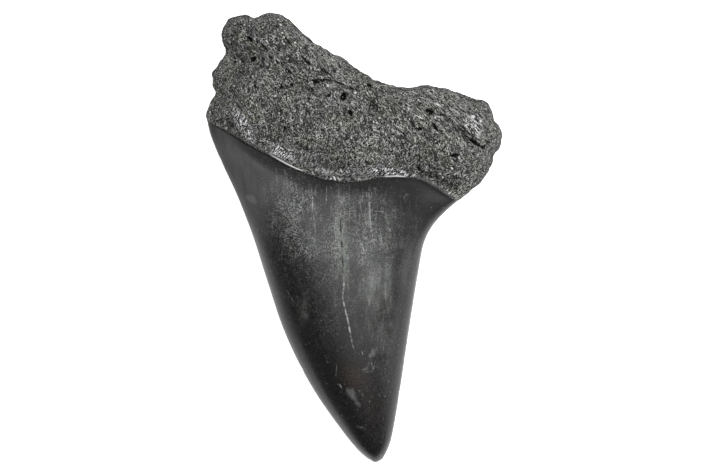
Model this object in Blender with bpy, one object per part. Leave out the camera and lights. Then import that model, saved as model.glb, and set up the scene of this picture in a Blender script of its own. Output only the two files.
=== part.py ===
"""Fossil mako shark tooth, lying on its labial (outer) face with its lingual (inner) face up.

The root and the enamelled crown grew as one piece, so the tooth is one solid.
X runs across the tooth, +Y from the crown's tip to the root, and +Z up out of the lingual face.
The origin is on the surface that the tooth lies on, below the middle of its box.
Sizes here are in millimetres, and the finished mesh is scaled to metres.
"""

import math

import bpy
import numpy as np
from mathutils import Matrix, Vector, geometry, noise

METRES_PER_MM = 0.001

# The outline seen from above, as five edges that meet at their ends: x, y

ROOT_LEFT_EDGE = [
    (-15.50, 25.15), (-15.75, 23.90), (-15.30, 22.35), (-16.10, 21.00), (-16.75, 19.95),
    (-16.80, 18.40), (-16.45, 17.20), (-17.15, 16.10), (-17.70, 14.80), (-17.55, 14.10),
]
ROOT_TOP_EDGE = [
    (-15.50, 25.15), (-14.95, 26.05), (-14.15, 26.60), (-12.85, 26.90), (-11.80, 26.55),
    (-11.05, 26.80), (-10.25, 26.90), (-8.70, 26.75), (-7.35, 25.85), (-6.25, 24.80),
    (-5.25, 24.00), (-4.40, 23.30), (-3.30, 22.55), (-1.90, 21.85), (-0.80, 21.10),
    (0.10, 20.40), (1.75, 19.65), (2.70, 18.95), (3.90, 18.40), (4.90, 18.15),
    (7.00, 18.10), (8.10, 18.50), (9.90, 18.35), (12.30, 17.65), (14.45, 16.65),
    (15.95, 16.20), (16.60, 14.95), (16.70, 14.25), (17.40, 13.60),
]
ROOT_RIGHT_EDGE = [
    (17.40, 13.60), (17.65, 12.40), (17.35, 11.00), (16.85, 10.15), (16.55, 8.80),
    (15.40, 7.15), (13.60, 5.45), (12.45, 4.60),
]
CROWN_LEFT_EDGE = [
    (-17.55, 14.10), (-17.15, 12.40), (-15.85, 9.25), (-14.05, 5.35), (-12.20, 0.55),
    (-10.40, -5.10), (-8.30, -11.30), (-5.15, -17.65), (-1.50, -23.00), (0.60, -25.55),
    (1.80, -26.60),
]
CROWN_RIGHT_EDGE = [
    (12.45, 4.60), (10.85, 3.20), (9.35, 1.50), (8.40, -0.50), (7.75, -3.80), (6.90, -9.05),
    (6.05, -14.70), (5.25, -20.00), (4.50, -24.05), (3.95, -25.60), (3.40, -26.55),
]
TIP_EDGE = [(1.80, -26.60), (2.60, -26.92), (3.40, -26.55)]

# Where the root's bone stops and the crown's enamel begins on each face: x, y

LINGUAL_RIM = [
    (-17.55, 14.10), (-16.40, 13.45), (-14.80, 12.55), (-13.10, 11.45), (-10.50, 10.05),
    (-8.00, 8.65), (-6.30, 7.90), (-3.40, 6.95), (-0.40, 6.65), (2.90, 7.05), (4.50, 7.20),
    (6.20, 7.15), (7.75, 6.95), (9.05, 6.35), (11.30, 5.00), (12.45, 4.60),
]
LABIAL_RIM = [
    (-17.55, 14.10), (-14.50, 14.30), (-9.50, 13.50), (-3.50, 12.00), (2.00, 10.00),
    (7.00, 7.60), (10.50, 5.60), (12.45, 4.60),
]

# Heights above the surface: of the outline, as y and z, and of each face's ridge, as a share
# of the crown's length and z

OUTLINE_HEIGHT = [(-27, 0.75), (-24, 0.9), (-14, 1.5), (-2, 2.1), (6, 2.7), (14, 3.5), (27, 3.7)]
LINGUAL_RIDGE = [(0, 6.3), (0.12, 6.75), (0.3, 6.6), (0.55, 5.6), (0.78, 4.2), (0.92, 3.0), (1, 2.2)]
LABIAL_RIDGE = [(0, 0.55), (0.2, 0.75), (0.5, 0.75), (0.8, 0.25), (0.9, 0), (1, 0.1)]
RIDGE_SHARE_ACROSS = [(0, 0.5), (0.3, 0.53), (0.6, 0.58), (1, 0.6)]
TIP_ROUND_SHARE = 0.06
LABIAL_FLATNESS = 0.8

# The groove at the crown's neck, and the lip of bone that overhangs it

NECK_GROOVE_DEPTH = 0.45
NECK_GROOVE_WIDTH = 1.1
LIP_HEIGHT = 0.75
LIP_RADIUS = 0.35
LIP_LENGTH = 2.0
LIP_TO_BODY_LENGTH = 4.6
LABIAL_ENAMEL_STEP = 0.2
LABIAL_NECK_LENGTH = 1.5

# The root's body, and its swellings and hollows:
# x, y, rise, half-width along, half-width across, turn in degrees

ROOT_LINGUAL_HEIGHT = 6.5
ROOT_LABIAL_HEIGHT = 0.35
ROOT_EDGE_RADIUS = 2.8
LINGUAL_SWELLINGS = [
    (-3.0, 13.0, 2.2, 12.7, 5.1, -16),
    (-12.0, 21.5, 0.9, 6.4, 5.1, -60),
    (12.0, 12.6, 1.1, 5.7, 4.8, -25),
    (-12.2, 17.0, 0.45, 3.4, 1.1, 75),
    (-3.2, 13.3, 0.35, 2.1, 1.7, 0),
    (6.6, 15.2, 0.4, 2.7, 1.3, 80),
    (10.8, 11.6, 0.35, 2.8, 1.6, -30),
    (16.0, 13.1, 0.4, 1.7, 1.3, 0),
    (-16.6, 14.6, -1.0, 2.3, 2.3, 0),
    (-8.4, 20.4, -0.35, 3.1, 1.1, -58),
    (-13.6, 21.6, -0.5, 3.1, 0.85, -35),
    (-15.2, 17.0, -0.4, 2.4, 0.7, -10),
    (2.2, 15.9, -0.3, 1.6, 1.3, 0),
    (10.4, 7.25, -0.4, 2.4, 0.5, -24),
]
LABIAL_SWELLINGS = [
    (-11.5, 19.5, 0.6, 6.5, 4.8, -60),
    (12.0, 12.0, 0.6, 5.4, 4.2, -25),
    (0.5, 15.5, -0.5, 7.1, 2.8, -20),
]

# Openings of blood vessels, and cracks: x, y, depth, half-length, half-width, turn in degrees

PIT_STEEPNESS = 1.5
PITS = [
    (-1.25, 16.85, 1.0, 0.48, 0.32, 80),
    (-0.45, 14.90, 0.7, 0.36, 0.26, 110),
    (1.85, 18.20, 0.6, 0.36, 0.24, -40),
    (-12.30, 23.70, 0.6, 0.38, 0.24, -40),
    (-11.90, 21.30, 0.7, 0.38, 0.30, 40),
    (-4.60, 18.60, 0.4, 0.50, 0.20, -8),
    (8.90, 15.10, 0.5, 0.42, 0.28, -20),
    (9.60, 13.20, 0.4, 0.60, 0.20, -60),
    (11.90, 9.90, 0.4, 0.60, 0.20, 5),
    (14.45, 11.50, 0.5, 1.35, 0.26, -27),
    (1.85, 15.60, 0.4, 0.60, 0.45, 30),
]

# The bone's growth layers, which show as ledges, and its lumps: spacing or size, and height

LEDGE_ZONES = [(14.2, 13.4, 1, 4.8, 4.2, 0), (-5.5, 23.0, 1, 6.4, 3.4, -38)]
LEDGE_SPACING = 1.0
LEDGE_HEIGHT = 0.14
LEDGE_TURN = math.radians(-38)
LEDGE_WANDER = 0.9
LEDGE_WANDER_SIZE = 2.5
LUMP_SIZES = [(3.4, 0.34), (1.25, 0.2)]
LUMP_FADE = 0.6

# How finely the faces are divided, the shares of their width and length that round off towards
# the outline, where the divisions are closer, and how many triangles the solid keeps

ROOT_COLUMNS = 136
ROOT_ROWS = 46
CROWN_ROWS = 46
ROOT_SIDE_BAND = 0.09
CROWN_SIDE_BAND = 0.24
SIDE_BAND_CHANGE = 0.1
ROOT_TOP_BAND = 0.2
LIP_BAND = 0.06
TIP_BAND = 0.03
CLOSER_TO_NECK = 1.25
SOLID_TRIANGLES = 9000


def spline(points):
    """A smooth line through these points, as closely spaced points."""
    steps = 12
    knots = [Vector(point) for point in points]
    ways = [
        (after - before).normalized()
        for before, after in zip(knots[:1] + knots[:-1], knots[1:] + knots[-1:])
    ]
    line = [points[0]]
    for i in range(len(knots) - 1):
        reach = (knots[i + 1] - knots[i]).length / 3
        handles = knots[i] + ways[i] * reach, knots[i + 1] - ways[i + 1] * reach
        curve = geometry.interpolate_bezier(knots[i], *handles, knots[i + 1], steps + 1)
        line += [(point.x, point.y) for point in curve[1:]]
    return np.array(line)


def along(line, share):
    """The points at these shares of a line's length."""
    lengths = np.linalg.norm(np.diff(line, axis=0), axis=1)
    run = np.concatenate(([0], np.cumsum(lengths))) / lengths.sum()
    return np.stack([np.interp(share, run, line[:, axis]) for axis in (0, 1)], axis=-1)


def graph(knots, at):
    """The values, at these places, of a smooth graph through these knots."""
    line = spline(knots)
    return np.interp(at, line[:, 0], line[:, 1])


def distance(plan, line):
    """How far each point of a plan is from a line."""
    start = line[:-1]
    way = np.diff(line, axis=0)
    square = (way**2).sum(axis=1)
    points = plan.reshape(-1, 2)
    found = []
    for block in np.array_split(points, len(points) // 2000 + 1):
        offset = block[:, None] - start
        share = np.clip((offset * way).sum(axis=2) / square, 0, 1)
        gap = offset - share[..., None] * way
        found.append(np.sqrt((gap**2).sum(axis=2).min(axis=1)))
    return np.concatenate(found).reshape(plan.shape[:-1])


def quarter_round(share):
    """A quarter of a circle, rising from 0 at 0 to 1 at 1 and beyond."""
    return np.sqrt(1 - (1 - np.clip(share, 0, 1)) ** 2)


def blend(first, second, share):
    """The first heights at a share of 0, passing quickly and then gently into the second at 1."""
    return first + (second - first) * (1 - (1 - np.clip(share, 0, 1)) ** 2)


def rounded_shares(count, first_band, last_band):
    """Shares of a strip at even steps over it, where the strip's ends round off over these bands."""
    quarter = math.pi / 2
    run = np.linspace(0, 1 + (quarter - 1) * (first_band + last_band), count + 1)
    to_end = run[-1] - run
    shares = run - (quarter - 1) * first_band
    if first_band:
        in_first = run < quarter * first_band
        shares[in_first] = first_band * (1 - np.cos(run[in_first] / first_band))
    if last_band:
        in_last = to_end < quarter * last_band
        shares[in_last] = 1 - last_band * (1 - np.cos(to_end[in_last] / last_band))
    return shares


def patch(top, bottom, left, right, across, down):
    """A grid of plan points that fills the space between four lines that meet at their ends."""
    u = across[..., None]
    v = down[:, None, None]
    sides = (1 - u) * along(left, down)[:, None] + u * along(right, down)[:, None]
    ends = (1 - v) * along(top, across) + v * along(bottom, across)
    corners = (1 - v) * ((1 - u) * top[0] + u * top[-1]) + v * ((1 - u) * bottom[0] + u * bottom[-1])
    return sides + ends - corners


def bumps(plan, table, steepness=1):
    """The sum of rounded bumps: x, y, rise, half-width along, half-width across, turn in degrees."""
    total = np.zeros(plan.shape[:-1])
    for x, y, rise, length, width, turn in table:
        cosine = math.cos(math.radians(turn))
        sine = math.sin(math.radians(turn))
        east = plan[..., 0] - x
        north = plan[..., 1] - y
        far = ((east * cosine + north * sine) / length) ** 2
        wide = ((north * cosine - east * sine) / width) ** 2
        total += rise * np.exp(-((far + wide) ** steepness))
    return total


def waves(points, size, seed):
    """Smooth noise, from about -1 to 1, with features of this size."""
    shift = Vector((17.3, 5.1, 9.7)) * seed
    flat = points.reshape(-1, points.shape[-1])
    values = [noise.noise(Vector(point).to_3d() / size + shift) for point in flat]
    return np.array(values).reshape(points.shape[:-1])


def ledges(plan):
    """The stepped edges of growth layers, strongest in the middle of their zones."""
    zones = np.clip(bumps(plan, LEDGE_ZONES), 0, 1)
    across = plan[..., 1] * math.cos(LEDGE_TURN) - plan[..., 0] * math.sin(LEDGE_TURN)
    phase = (across / LEDGE_SPACING + LEDGE_WANDER * waves(plan, LEDGE_WANDER_SIZE, 4)) % 1
    return LEDGE_HEIGHT * zones * (phase - 0.5)


def shares_across():
    """Each row's shares across the tooth, for the root and for the crown, closer near the outline."""
    near_rim = np.exp(-shares_down_crown() / SIDE_BAND_CHANGE)
    bands = CROWN_SIDE_BAND + (ROOT_SIDE_BAND - CROWN_SIDE_BAND) * near_rim
    root = rounded_shares(ROOT_COLUMNS, ROOT_SIDE_BAND, ROOT_SIDE_BAND)
    crown = np.array([rounded_shares(ROOT_COLUMNS // 2, band, band) for band in bands])
    crown[0] = root[::2]
    return np.tile(root, (ROOT_ROWS + 1, 1)), crown


def shares_down_root():
    """The rows' shares of the root's length, from its top edge to the rim, closer at both ends."""
    return rounded_shares(ROOT_ROWS, ROOT_TOP_BAND, LIP_BAND)


def shares_down_crown():
    """The rows' shares of the crown's length, from the rim to the tip, closer at both ends."""
    return rounded_shares(CROWN_ROWS, 0, TIP_BAND) ** CLOSER_TO_NECK


def face_plan(rim):
    """One face seen from above: the root's grid of points, and the crown's."""
    root_across, crown_across = shares_across()
    root_sides = spline(ROOT_LEFT_EDGE), spline(ROOT_RIGHT_EDGE)
    crown_sides = spline(CROWN_LEFT_EDGE), spline(CROWN_RIGHT_EDGE)
    root = patch(spline(ROOT_TOP_EDGE), rim, *root_sides, root_across, shares_down_root())
    crown = patch(rim, spline(TIP_EDGE), *crown_sides, crown_across, shares_down_crown())
    return root, crown


def outline():
    """The whole outline as one closed line."""
    return np.concatenate([
        spline(ROOT_TOP_EDGE), spline(ROOT_RIGHT_EDGE), spline(CROWN_RIGHT_EDGE),
        spline(TIP_EDGE)[::-1], spline(CROWN_LEFT_EDGE)[::-1], spline(ROOT_LEFT_EDGE)[::-1],
    ])


def bulge(across, down):
    """The crown's cross-section, from 0 at its two cutting edges to 1 at its ridge."""
    ridge = graph(RIDGE_SHARE_ACROSS, down)[:, None]
    side = np.where(across < ridge, 1 - across / ridge, (across - ridge) / (1 - ridge))
    tip = quarter_round((1 - down) / TIP_ROUND_SHARE)[:, None]
    return np.sqrt(np.clip(1 - side**2, 0, 1)) * tip


def lingual_face():
    """The upper face: the root's points, the crown's, and how much of its lumps the root shows."""
    rim = spline(LINGUAL_RIM)
    root, crown = face_plan(rim)
    root_across, crown_across = shares_across()
    down = shares_down_crown()

    edge = graph(OUTLINE_HEIGHT, crown[..., 1])
    groove = NECK_GROOVE_DEPTH * np.exp(-distance(crown, rim) / NECK_GROOVE_WIDTH)
    ridge = graph(LINGUAL_RIDGE, down)[:, None] - groove
    crown_z = edge + (ridge - edge) * bulge(crown_across, down)

    edge = graph(OUTLINE_HEIGHT, root[..., 1])
    from_edge = distance(root, outline())
    from_rim = distance(root, rim)
    neck_rise = LINGUAL_RIDGE[0][1] - NECK_GROOVE_DEPTH - edge[-1]
    neck = edge + neck_rise * bulge(root_across, np.zeros(len(root)))
    lip = neck + LIP_HEIGHT * quarter_round(from_edge / LIP_LENGTH) * quarter_round(from_rim / LIP_RADIUS)
    body = ROOT_LINGUAL_HEIGHT + bumps(root, LINGUAL_SWELLINGS) + ledges(root)
    body = edge + (body - edge) * quarter_round(from_edge / ROOT_EDGE_RADIUS)
    root_z = blend(lip, body, from_rim / LIP_TO_BODY_LENGTH) - bumps(root, PITS, PIT_STEEPNESS)
    return np.dstack([root, root_z]), np.dstack([crown, crown_z]), np.clip(from_rim / LUMP_FADE, 0, 1)


def labial_face():
    """The lower face, in the same three parts."""
    rim = spline(LABIAL_RIM)
    root, crown = face_plan(rim)
    root_across, crown_across = shares_across()
    down = shares_down_crown()

    edge = graph(OUTLINE_HEIGHT, crown[..., 1])
    ridge = graph(LABIAL_RIDGE, down)[:, None]
    crown_z = edge - (edge - ridge) * bulge(crown_across, down) ** LABIAL_FLATNESS

    edge = graph(OUTLINE_HEIGHT, root[..., 1])
    from_rim = distance(root, rim)
    neck_drop = edge[-1] - LABIAL_RIDGE[0][1]
    neck = edge - neck_drop * bulge(root_across, np.zeros(len(root))) ** LABIAL_FLATNESS
    body = ROOT_LABIAL_HEIGHT - bumps(root, LABIAL_SWELLINGS)
    body = edge - (edge - body) * quarter_round(distance(root, outline()) / ROOT_EDGE_RADIUS)
    to_body = from_rim / LABIAL_NECK_LENGTH
    step = LABIAL_ENAMEL_STEP * quarter_round(3 * to_body) * np.clip(1 - to_body, 0, 1)
    root_z = blend(neck, body, to_body) + step
    return np.dstack([root, root_z]), np.dstack([crown, crown_z]), np.clip(from_rim / LUMP_FADE, 0, 1)


def numbered(grids):
    """Numbers the points of these grids in one run, one array of numbers for each grid."""
    numbers = []
    first = 0
    for grid in grids:
        rows, columns = grid.shape[:2]
        numbers.append(first + np.arange(rows * columns).reshape(rows, columns))
        first += rows * columns
    return numbers


def four_sided(numbers):
    """The faces between the points of a grid."""
    corners = numbers[:-1, :-1], numbers[1:, :-1], numbers[1:, 1:], numbers[:-1, 1:]
    return np.stack(corners, axis=-1).reshape(-1, 4).tolist()


def five_sided(rim, row):
    """The faces between the root's last row of points and a row with half as many."""
    corners = rim[:-2:2], row[:-1], row[1:], rim[2::2], rim[1::2]
    return np.stack(corners, axis=-1).tolist()


def without_unused(points, faces):
    """The points that the faces use, the faces with those points' new numbers, and the old numbers."""
    used, new_numbers = np.unique(np.concatenate(faces, axis=None), return_inverse=True)
    ends = np.cumsum([len(face) for face in faces])
    return points[used], [face.tolist() for face in np.split(new_numbers, ends[:-1])], used


def tooth_mesh():
    """The tooth as one closed mesh: two faces that share the points of the outline."""
    root_above, crown_above, lumps_above = lingual_face()
    root_below, crown_below, lumps_below = labial_face()
    grids = [root_above, crown_above, root_below, crown_below]
    root, crown, low_root, low_crown = numbered(grids)
    for above, below in ((root, low_root), (crown, low_crown)):
        below[:, 0] = above[:, 0]
        below[:, -1] = above[:, -1]
    low_root[0] = root[0]
    low_crown[-1] = crown[-1]
    faces = four_sided(root) + five_sided(root[-1], crown[1]) + four_sided(crown[1:])
    under = four_sided(low_root) + five_sided(low_root[-1], low_crown[1]) + four_sided(low_crown[1:])
    faces += [face[::-1] for face in under]

    points = np.concatenate([grid.reshape(-1, 3) for grid in grids])
    points, faces, used = without_unused(points, faces)
    no_lumps = np.zeros(crown.size)
    lump_share = np.concatenate([lumps_above.ravel(), no_lumps, lumps_below.ravel(), no_lumps])[used]
    mesh = bpy.data.meshes.new("tooth")
    mesh.from_pydata(points.tolist(), [], faces)
    normals = np.array([normal.vector for normal in mesh.vertex_normals])
    rise = sum(height * waves(points, size, seed) for seed, (size, height) in enumerate(LUMP_SIZES))
    points += normals * (rise * lump_share)[:, None]
    points[:, 2] = np.maximum(points[:, 2], 0)
    mesh.vertices.foreach_set("co", points.ravel())
    mesh.transform(Matrix.Scale(METRES_PER_MM, 4))
    return mesh


def fossil_material():
    """Black to dark grey mineral that has taken the place of the bone and the enamel."""
    material = bpy.data.materials.new("fossil")
    material.use_nodes = True
    shader = material.node_tree.nodes["Principled BSDF"]
    shader.inputs["Base Color"].default_value = (0.06, 0.06, 0.057, 1)
    shader.inputs["Roughness"].default_value = 0.55
    shader.inputs["Metallic"].default_value = 0
    return material


def main():
    for old in list(bpy.data.objects):
        bpy.data.objects.remove(old)
    mesh = tooth_mesh()
    mesh.materials.append(fossil_material())
    mesh.shade_smooth()
    tooth = bpy.data.objects.new("tooth", mesh)
    bpy.context.scene.collection.objects.link(tooth)
    mesh.calc_loop_triangles()
    thinning = tooth.modifiers.new("fewer triangles", "DECIMATE")
    thinning.ratio = SOLID_TRIANGLES / len(mesh.loop_triangles)


main()
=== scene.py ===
"""Looks of the fossil mako shark tooth: a fine mesh with the bone's strands, pores and layers and
the nicks in the enamel's edges, a material for bone and one for enamel, floor, lights and camera.

The shape follows the same outline, heights and swellings as the solid that it stands for.
X runs across the tooth, +Y from the crown's tip to the root, and +Z up out of the lingual face.
Sizes here are in millimetres, and what is placed in the scene is scaled to metres.
"""

import math
from functools import cached_property, partial, reduce

import bpy
import numpy as np
from mathutils import Matrix, Vector, geometry, kdtree, noise


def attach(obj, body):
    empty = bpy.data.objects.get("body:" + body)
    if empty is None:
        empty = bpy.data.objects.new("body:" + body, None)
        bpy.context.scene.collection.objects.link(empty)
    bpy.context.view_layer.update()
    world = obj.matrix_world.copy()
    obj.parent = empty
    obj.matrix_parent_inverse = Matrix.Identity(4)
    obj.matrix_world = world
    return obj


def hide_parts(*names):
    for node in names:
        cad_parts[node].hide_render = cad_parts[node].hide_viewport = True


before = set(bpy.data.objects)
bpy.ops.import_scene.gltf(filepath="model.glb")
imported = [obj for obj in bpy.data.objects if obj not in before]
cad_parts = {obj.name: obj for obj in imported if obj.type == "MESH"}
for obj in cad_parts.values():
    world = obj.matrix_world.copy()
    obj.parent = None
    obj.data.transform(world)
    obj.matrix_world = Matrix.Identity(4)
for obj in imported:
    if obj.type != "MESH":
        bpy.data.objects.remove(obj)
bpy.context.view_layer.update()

METRES_PER_MM = 0.001

# The outline seen from above, as five edges that meet at their ends: x, y

ROOT_LEFT_EDGE = [
    (-15.5, 25.15), (-15.75, 23.9), (-15.3, 22.35), (-16.1, 21), (-16.75, 19.95), (-16.8, 18.4),
    (-16.45, 17.2), (-17.15, 16.1), (-17.7, 14.8), (-17.55, 14.1),
]
ROOT_TOP_EDGE = [
    (-15.5, 25.15), (-14.95, 26.05), (-14.15, 26.6), (-12.85, 26.9), (-11.8, 26.55), (-11.05, 26.8),
    (-10.25, 26.9), (-8.7, 26.75), (-7.35, 25.85), (-6.25, 24.8), (-5.25, 24), (-4.4, 23.3), (-3.3, 22.55),
    (-1.9, 21.85), (-0.8, 21.1), (0.1, 20.4), (1.75, 19.65), (2.7, 18.95), (3.9, 18.4), (4.9, 18.15),
    (7, 18.1), (8.1, 18.5), (9.9, 18.35), (12.3, 17.65), (14.45, 16.65), (15.95, 16.2), (16.6, 14.95),
    (16.7, 14.25), (17.4, 13.6),
]
ROOT_RIGHT_EDGE = [
    (17.4, 13.6), (17.65, 12.4), (17.35, 11), (16.85, 10.15), (16.55, 8.8), (15.4, 7.15), (13.6, 5.45),
    (12.45, 4.6),
]
CROWN_LEFT_EDGE = [
    (-17.55, 14.1), (-17.15, 12.4), (-15.85, 9.25), (-14.05, 5.35), (-12.2, 0.55), (-10.4, -5.1),
    (-8.3, -11.3), (-5.15, -17.65), (-1.5, -23), (0.6, -25.55), (1.8, -26.6),
]
CROWN_RIGHT_EDGE = [
    (12.45, 4.6), (10.85, 3.2), (9.35, 1.5), (8.4, -0.5), (7.75, -3.8), (6.9, -9.05), (6.05, -14.7),
    (5.25, -20), (4.5, -24.05), (3.95, -25.6), (3.4, -26.55),
]
TIP_EDGE = [(1.8, -26.6), (2.6, -26.92), (3.4, -26.55)]

# Where the root's bone stops and the crown's enamel begins on each face: x, y

LINGUAL_RIM = [
    (-17.55, 14.1), (-16.4, 13.45), (-14.8, 12.55), (-13.1, 11.45), (-10.5, 10.05), (-8, 8.65), (-6.3, 7.9),
    (-3.4, 6.95), (-0.4, 6.65), (2.9, 7.05), (4.5, 7.2), (6.2, 7.15), (7.75, 6.95), (9.05, 6.35), (11.3, 5),
    (12.45, 4.6),
]
LABIAL_RIM = [
    (-17.55, 14.1), (-14.5, 14.3), (-9.5, 13.5), (-3.5, 12), (2, 10), (7, 7.6), (10.5, 5.6), (12.45, 4.6),
]

# Heights above the surface: of the outline, as y and z, and of each face's ridge, as a share
# of the crown's length and z

OUTLINE_HEIGHT = [(-27, 0.75), (-24, 0.9), (-14, 1.5), (-2, 2.1), (6, 2.7), (14, 3.5), (27, 3.7)]
LINGUAL_RIDGE = [(0, 6.3), (0.12, 6.75), (0.3, 6.6), (0.55, 5.6), (0.78, 4.2), (0.92, 3), (1, 2.2)]
LABIAL_RIDGE = [(0, 0.55), (0.2, 0.75), (0.5, 0.75), (0.8, 0.25), (0.9, 0), (1, 0.1)]
RIDGE_SHARE_ACROSS = [(0, 0.5), (0.3, 0.53), (0.6, 0.58), (1, 0.6)]
LINGUAL_FLATNESS = [(0, 0.5), (0.15, 0.62), (0.3, 0.78), (0.5, 0.92), (0.65, 1), (1, 1)]
TIP_ROUND_SHARE = 0.06
LABIAL_FLATNESS = 0.8

# The groove at the crown's neck, and the lip of bone that overhangs it

NECK_GROOVE_DEPTH = 0.45
NECK_GROOVE_WIDTH = 1.1
LIP_HEIGHT = 0.75
LIP_RADIUS = 0.35
LIP_LENGTH = 2.0
LIP_TO_BODY_LENGTH = 4.6
LABIAL_ENAMEL_STEP = 0.2
LABIAL_STEP_RISE = 3
LABIAL_NECK_LENGTH = 1.5

# The root's body, and its swellings and hollows:
# x, y, rise, half-width along, half-width across, turn in degrees

ROOT_LINGUAL_HEIGHT = 6.5
ROOT_LABIAL_HEIGHT = 0.35
ROOT_EDGE_RADIUS = 2.8
LINGUAL_SWELLINGS = [
    (-3, 13, 2.2, 12.7, 5.1, -16), (-12, 21.5, 0.9, 6.4, 5.1, -60), (12, 12.6, 1.1, 5.7, 4.8, -25),
    (-12.2, 17, 0.45, 3.4, 1.1, 75), (-3.2, 13.3, 0.35, 2.1, 1.7, 0), (6.6, 15.2, 0.4, 2.7, 1.3, 80),
    (10.8, 11.6, 0.35, 2.8, 1.6, -30), (16, 13.1, 0.4, 1.7, 1.3, 0), (-16.6, 14.6, -1, 2.3, 2.3, 0),
    (-8.4, 20.4, -0.35, 3.1, 1.1, -58), (-13.6, 21.6, -0.5, 3.1, 0.85, -35),
    (-15.2, 17, -0.4, 2.4, 0.7, -10), (2.2, 15.9, -0.3, 1.6, 1.3, 0), (10.4, 7.25, -0.4, 2.4, 0.5, -24),
    (1.85, 15.6, -0.4, 0.6, 0.45, 30),
]
LABIAL_SWELLINGS = [
    (-11.5, 19.5, 0.6, 6.5, 4.8, -60), (12, 12, 0.6, 5.4, 4.2, -25), (0.5, 15.5, -0.5, 7.1, 2.8, -20),
]

# Openings of blood vessels, and narrow slits between the layers:
# x, y, depth, half-length, half-width, turn in degrees

PIT_STEEPNESS = 2
PITS = [
    (-1.25, 16.85, 1, 0.48, 0.32, 80), (-0.45, 14.9, 0.7, 0.36, 0.24, 110),
    (1.85, 18.2, 0.6, 0.36, 0.2, -40), (-12.3, 23.7, 0.6, 0.38, 0.18, -40),
    (-11.9, 21.3, 0.7, 0.34, 0.26, 40), (-4.6, 18.6, 0.45, 0.5, 0.15, -8),
    (-7.4, 18.3, 0.4, 0.22, 0.16, 60), (-8.6, 17.95, 0.4, 0.2, 0.16, 30), (-5.1, 17.65, 0.4, 0.2, 0.17, 80),
    (-3, 17, 0.35, 0.24, 0.16, 50), (-11.7, 18.1, 0.35, 0.26, 0.14, 80), (8.9, 15.1, 0.5, 0.42, 0.24, -20),
    (9.6, 13.2, 0.4, 0.6, 0.14, -60), (7.8, 13.05, 0.35, 0.25, 0.16, -40), (11.9, 9.9, 0.4, 0.6, 0.16, 5),
    (14.3, 11.4, 0.6, 0.8, 0.2, -31), (7.67, 8.39, 0.3, 0.27, 0.14, -69),
    (-8.17, 13.12, 0.3, 0.22, 0.15, -72), (-9.87, 21.52, 0.3, 0.24, 0.13, -18),
    (15.25, 10.89, 0.3, 0.28, 0.13, 5), (-3.8, 18.85, 0.25, 1.3, 0.09, 0),
    (-1.75, 18.5, 0.25, 0.85, 0.09, -22), (-0.25, 17.85, 0.25, 0.85, 0.09, -28),
    (-7.9, 23.55, 0.25, 0.95, 0.09, -51), (-5.7, 21.1, 0.25, 0.9, 0.08, -41),
    (-3.3, 19.75, 0.25, 0.8, 0.08, -30), (-10.6, 22.7, 0.25, 0.7, 0.08, -48),
    (-12.2, 19.1, 0.25, 0.5, 0.08, -60), (-7.6, 19.8, 0.25, 0.7, 0.08, -38),
    (13.1, 12.95, 0.25, 1.2, 0.09, -45), (11.4, 14.1, 0.25, 0.8, 0.08, -38),
    (12.9, 15.2, 0.25, 0.6, 0.08, -35),
]

# The bone's growth layers, which show as ledges, and its lumps: spacing or size, and height

LEDGE_ZONES = [(14.2, 13.4, 1, 4.8, 4.2, 0), (-5.5, 23, 1, 6.4, 3.4, -38)]
LEDGE_SPACING = 1.0
LEDGE_HEIGHT = 0.14
LEDGE_TURN = math.radians(-38)
LEDGE_WANDER = 0.9
LEDGE_WANDER_SIZE = 2.5
LEDGE_SEED = 4
LUMP_SIZES = [(3.4, 0.26), (1.25, 0.17), (0.6, 0.09)]
LUMP_FADE = 0.6

# The bone's strands and pores: how many, their lengths, widths and heights, how far the strands
# turn from the grain in degrees, and how much they bend. A point counts as bone from the least
# share of lumps, and the spacing of points there is the distance to the last of its neighbours.
# The grain is the way that the strands run at places on the root: x, y, turn in degrees. Between
# these places it changes smoothly, by their nearness or by powers of x and y in the grain's unit

STRANDS = 32000
STRAND_HALF_LENGTH = (0.15, 0.5)
STRAND_HALF_WIDTH = (0.06, 0.11)
STRAND_HEIGHT = (0.01, 0.09)
STRAND_SCATTER = 28
STRAND_BEND = 0.35
PORES = 1000
PORE_HALF_WIDTH = (0.06, 0.13)
PORE_LENGTHENING = (1, 3.5)
PORE_DEPTH = (0.08, 0.2)
LEAST_BONE_SHARE = 0.05
NEIGHBOURS = 7
GRAIN = [
    (-14.5, 24, -50), (-9, 24.5, -52), (-5, 21, -50), (0.5, 18, -46), (-15.5, 18, -62), (-14, 14.5, -72),
    (-10, 17, -62), (-9, 12, -100), (-4, 14, -82), (-3, 9, -112), (2, 9, -110), (3, 13.5, -68),
    (6.5, 9, -92), (8, 15, -32), (13, 14, -28), (13, 9, -38), (16.5, 11, -45),
]
GRAIN_UNIT = 10
GRAIN_DEGREE = 3
GRAIN_BLEND = 0.5
SEED = 7

# How finely the faces are divided, and the shares of their width and length that round off
# towards the outline, where the divisions are closer. The root's upper face is divided most
# finely. The crown has a column for every four of the root's, and the lower face has every
# fourth row and column of the upper root, and every second of the upper crown

ROOT_COLUMNS = 496
ROOT_ROWS = 160
CROWN_ROWS = 84
COARSER = 4
CROWN_COARSER = 2
ROOT_SIDE_BAND = 0.09
CROWN_SIDE_BAND = 0.24
SIDE_BAND_CHANGE = 0.1
ROOT_TOP_BAND = 0.2
LIP_BAND = 0.06
TIP_BAND = 0.03
CLOSER_TO_NECK = 1.25

# Marks on the crown. The crack's line is x, y, and each mark is x, y, strength, half-width along,
# half-width across, turn in degrees: where the crack gapes, where it has chipped pale, greenish
# and pale marks, haze, where the haze is streaky or smooth, brown stain, and dull places near the
# rim, where less haze and sheen paint the shadow under the rim. A strength below 0 takes away from
# the marks around it. A scratch has no half-width across, because its line is as thin as the
# others, and a speck is x, y alone. Distances from the lines are held to the mask's width, and a
# scratch shows only in a zone of this half-width

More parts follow.
